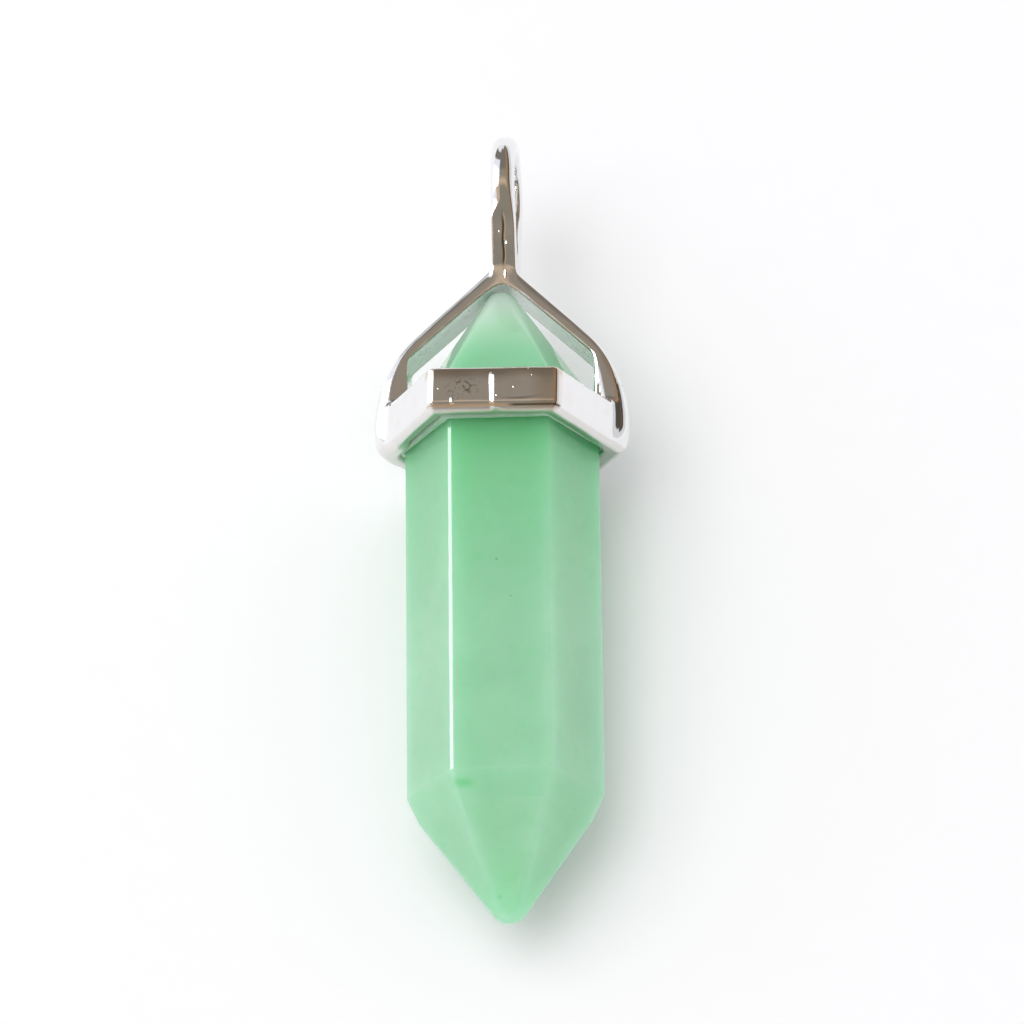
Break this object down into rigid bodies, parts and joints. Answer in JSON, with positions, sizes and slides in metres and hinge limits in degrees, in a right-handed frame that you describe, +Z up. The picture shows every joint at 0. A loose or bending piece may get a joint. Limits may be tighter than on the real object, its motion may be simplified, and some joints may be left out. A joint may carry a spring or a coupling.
{
  "type": "hexagonal crystal pendant",
  "caption": "Double-pointed hexagonal crystal in a cast metal cap: a collar round the stone, a pointed arch over its upper point and a fixed teardrop bail for a chain or cord.",
  "frame": {"origin": "middle of the pendant's box, at the level of the surface it lies on", "axes": "+Y along the stone towards the bail, +Z up out of the front facet as it lies on its back, +X to the right as seen from above with the bail away"},
  "size_m": [0.012, 0.0396, 0.0105],
  "materials": {
    "stone": "polished, milky translucent green",
    "adhesive": "clear glossy glue",
    "metal": "bright silver-coloured plating over a casting"
  },
  "bodies": {
    "root": {"crystal": "stone", "glue": "adhesive", "cap": "metal"}
  },
  "joints": []
}
